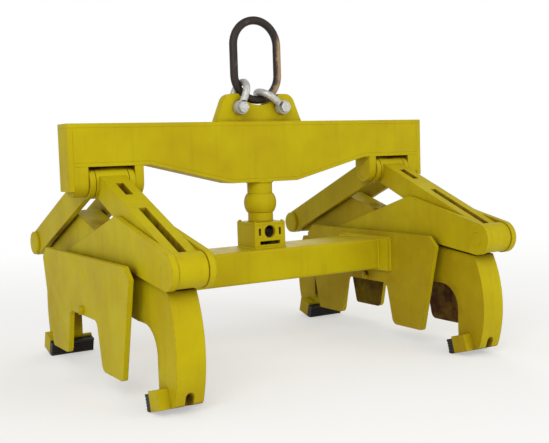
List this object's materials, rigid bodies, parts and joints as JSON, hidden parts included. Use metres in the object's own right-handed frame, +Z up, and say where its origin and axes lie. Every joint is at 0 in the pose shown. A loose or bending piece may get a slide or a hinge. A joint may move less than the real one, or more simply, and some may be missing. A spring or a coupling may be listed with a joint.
{
  "type": "billet clamp",
  "caption": "Crane billet clamp: a fish-belly beam over scissor tongs whose hooked jaws close under a row of billets as it lifts, with a turning latch and a shackled master link.",
  "frame": {"origin": "on the floor under the middle of the clamp", "axes": "+X along the beam, +Y across it to the back, +Z up"},
  "size_m": [1.6, 1.37, 1.3447],
  "materials": {
    "yellow_paint": "worn satin",
    "galvanised_steel": "dull",
    "forged_steel": "scaled",
    "hardened_steel": "matt",
    "machined_steel": "oiled"
  },
  "bodies": {
    "lower_frame": {"crossbeam": "yellow_paint", "crossbeam_flanges": "yellow_paint", "guide_plate_left_inner": "yellow_paint", "guide_plate_left_outer": "yellow_paint", "guide_plate_right_inner": "yellow_paint", "guide_plate_right_outer": "yellow_paint", "centre_pins": "yellow_paint", "centre_spacers": "yellow_paint", "stay_tubes": "yellow_paint", "stay_bolts": "yellow_paint", "latch_housing": "yellow_paint", "latch_slot_plate": "yellow_paint", "slot_plate_screws": "yellow_paint"},
    "upper_beam": {"beam_belly_plate": "yellow_paint", "beam_diaphragms": "yellow_paint", "beam_end_plates": "yellow_paint", "beam_side_plates": "yellow_paint", "beam_top_plate": "yellow_paint", "lifting_lug": "yellow_paint", "hanger_lugs": "yellow_paint", "hanger_pins": "yellow_paint", "latch_column": "yellow_paint"},
    "latch_hook": {"latch_hook": "machined_steel", "turning_collar": "yellow_paint", "collar_pin": "yellow_paint"},
    "master_link": {"master_link": "forged_steel"},
    "arm_left_back": {"jaw_plate_left_back": "yellow_paint", "cheek_plates_left_back": "yellow_paint", "jaw_insert_left_back": "hardened_steel", "insert_bolt_left_back": "machined_steel", "knuckle_pin_left_back": "yellow_paint"},
    "arm_left_front": {"jaw_plate_left_front": "yellow_paint", "jaw_insert_left_front": "hardened_steel", "insert_bolt_left_front": "machined_steel", "knuckle_pin_left_front": "yellow_paint"},
    "link_left_front": {"link_left_front": "yellow_paint"},
    "link_left_back": {"link_left_back": "yellow_paint"},
    "shackle_left": {"shackle_bow_left": "galvanised_steel", "shackle_pin_left": "galvanised_steel", "shackle_nut_left": "galvanised_steel", "shackle_cotter_left": "galvanised_steel"},
    "arm_right_back": {"jaw_plate_right_back": "yellow_paint", "cheek_plates_right_back": "yellow_paint", "jaw_insert_right_back": "hardened_steel", "insert_bolt_right_back": "machined_steel", "knuckle_pin_right_back": "yellow_paint"},
    "arm_right_front": {"jaw_plate_right_front": "yellow_paint", "jaw_insert_right_front": "hardened_steel", "insert_bolt_right_front": "machined_steel", "knuckle_pin_right_front": "yellow_paint"},
    "link_right_front": {"link_right_front": "yellow_paint"},
    "link_right_back": {"link_right_back": "yellow_paint"},
    "shackle_right": {"shackle_bow_right": "galvanised_steel", "shackle_pin_right": "galvanised_steel", "shackle_nut_right": "galvanised_steel", "shackle_cotter_right": "galvanised_steel"}
  },
  "joints": [
    {"name": "beam_lift", "type": "slide", "parent": "lower_frame", "child": "upper_beam", "axis": [0, 0, 1], "range_m": [0, 0.24]},
    {"name": "arm_left_back_swing", "type": "hinge", "parent": "lower_frame", "child": "arm_left_back", "pos_m": [-0.64, 0, 0.374], "axis": [1, 0, 0], "range_deg": [-14.75, 0]},
    {"name": "arm_left_front_swing", "type": "hinge", "parent": "lower_frame", "child": "arm_left_front", "pos_m": [-0.64, 0, 0.374], "axis": [1, 0, 0], "range_deg": [0, 14.75]},
    {"name": "link_left_front_swing", "type": "hinge", "parent": "upper_beam", "child": "link_left_front", "pos_m": [-0.64, 0, 0.718], "axis": [1, 0, 0], "range_deg": [0, 7.58]},
    {"name": "link_left_back_swing", "type": "hinge", "parent": "upper_beam", "child": "link_left_back", "pos_m": [-0.64, 0, 0.718], "axis": [1, 0, 0], "range_deg": [-7.58, 0]},
    {"name": "shackle_left_swing", "type": "hinge", "parent": "upper_beam", "child": "shackle_left", "pos_m": [-0.096, 0, 0.986], "axis": [0, 1, 0], "range_deg": [0, 20]},
    {"name": "arm_right_back_swing", "type": "hinge", "parent": "lower_frame", "child": "arm_right_back", "pos_m": [0.64, 0, 0.374], "axis": [1, 0, 0], "range_deg": [-14.75, 0]},
    {"name": "arm_right_front_swing", "type": "hinge", "parent": "lower_frame", "child": "arm_right_front", "pos_m": [0.64, 0, 0.374], "axis": [1, 0, 0], "range_deg": [0, 14.75]},
    {"name": "link_right_front_swing", "type": "hinge", "parent": "upper_beam", "child": "link_right_front", "pos_m": [0.64, 0, 0.718], "axis": [1, 0, 0], "range_deg": [0, 7.58]},
    {"name": "link_right_back_swing", "type": "hinge", "parent": "upper_beam", "child": "link_right_back", "pos_m": [0.64, 0, 0.718], "axis": [1, 0, 0], "range_deg": [-7.58, 0]},
    {"name": "shackle_right_swing", "type": "hinge", "parent": "upper_beam", "child": "shackle_right", "pos_m": [0.096, 0, 0.986], "axis": [0, 1, 0], "range_deg": [0, 18]},
    {"name": "master_link_tilt", "type": "hinge", "parent": "upper_beam", "child": "master_link", "pos_m": [-0.03719, 0, 1.04538], "axis": [0.8841, 0, -0.4674], "range_deg": [-25, 25]},
    {"name": "latch_turn", "type": "hinge", "parent": "upper_beam", "child": "latch_hook", "pos_m": [0, 0, 0.6075], "axis": [0, 0, 1], "range_deg": [0, 90]}
  ],
  "couplings": [
    {"joint": "arm_left_back_swing", "follows": "beam_lift", "rad_per_m": -1.0723},
    {"joint": "arm_left_front_swing", "follows": "beam_lift", "rad_per_m": 1.0723},
    {"joint": "link_left_front_swing", "follows": "beam_lift", "rad_per_m": 0.55055},
    {"joint": "link_left_back_swing", "follows": "beam_lift", "rad_per_m": -0.55055},
    {"joint": "arm_right_back_swing", "follows": "beam_lift", "rad_per_m": -1.0723},
    {"joint": "arm_right_front_swing", "follows": "beam_lift", "rad_per_m": 1.0723},
    {"joint": "link_right_front_swing", "follows": "beam_lift", "rad_per_m": 0.55055},
    {"joint": "link_right_back_swing", "follows": "beam_lift", "rad_per_m": -0.55055}
  ]
}
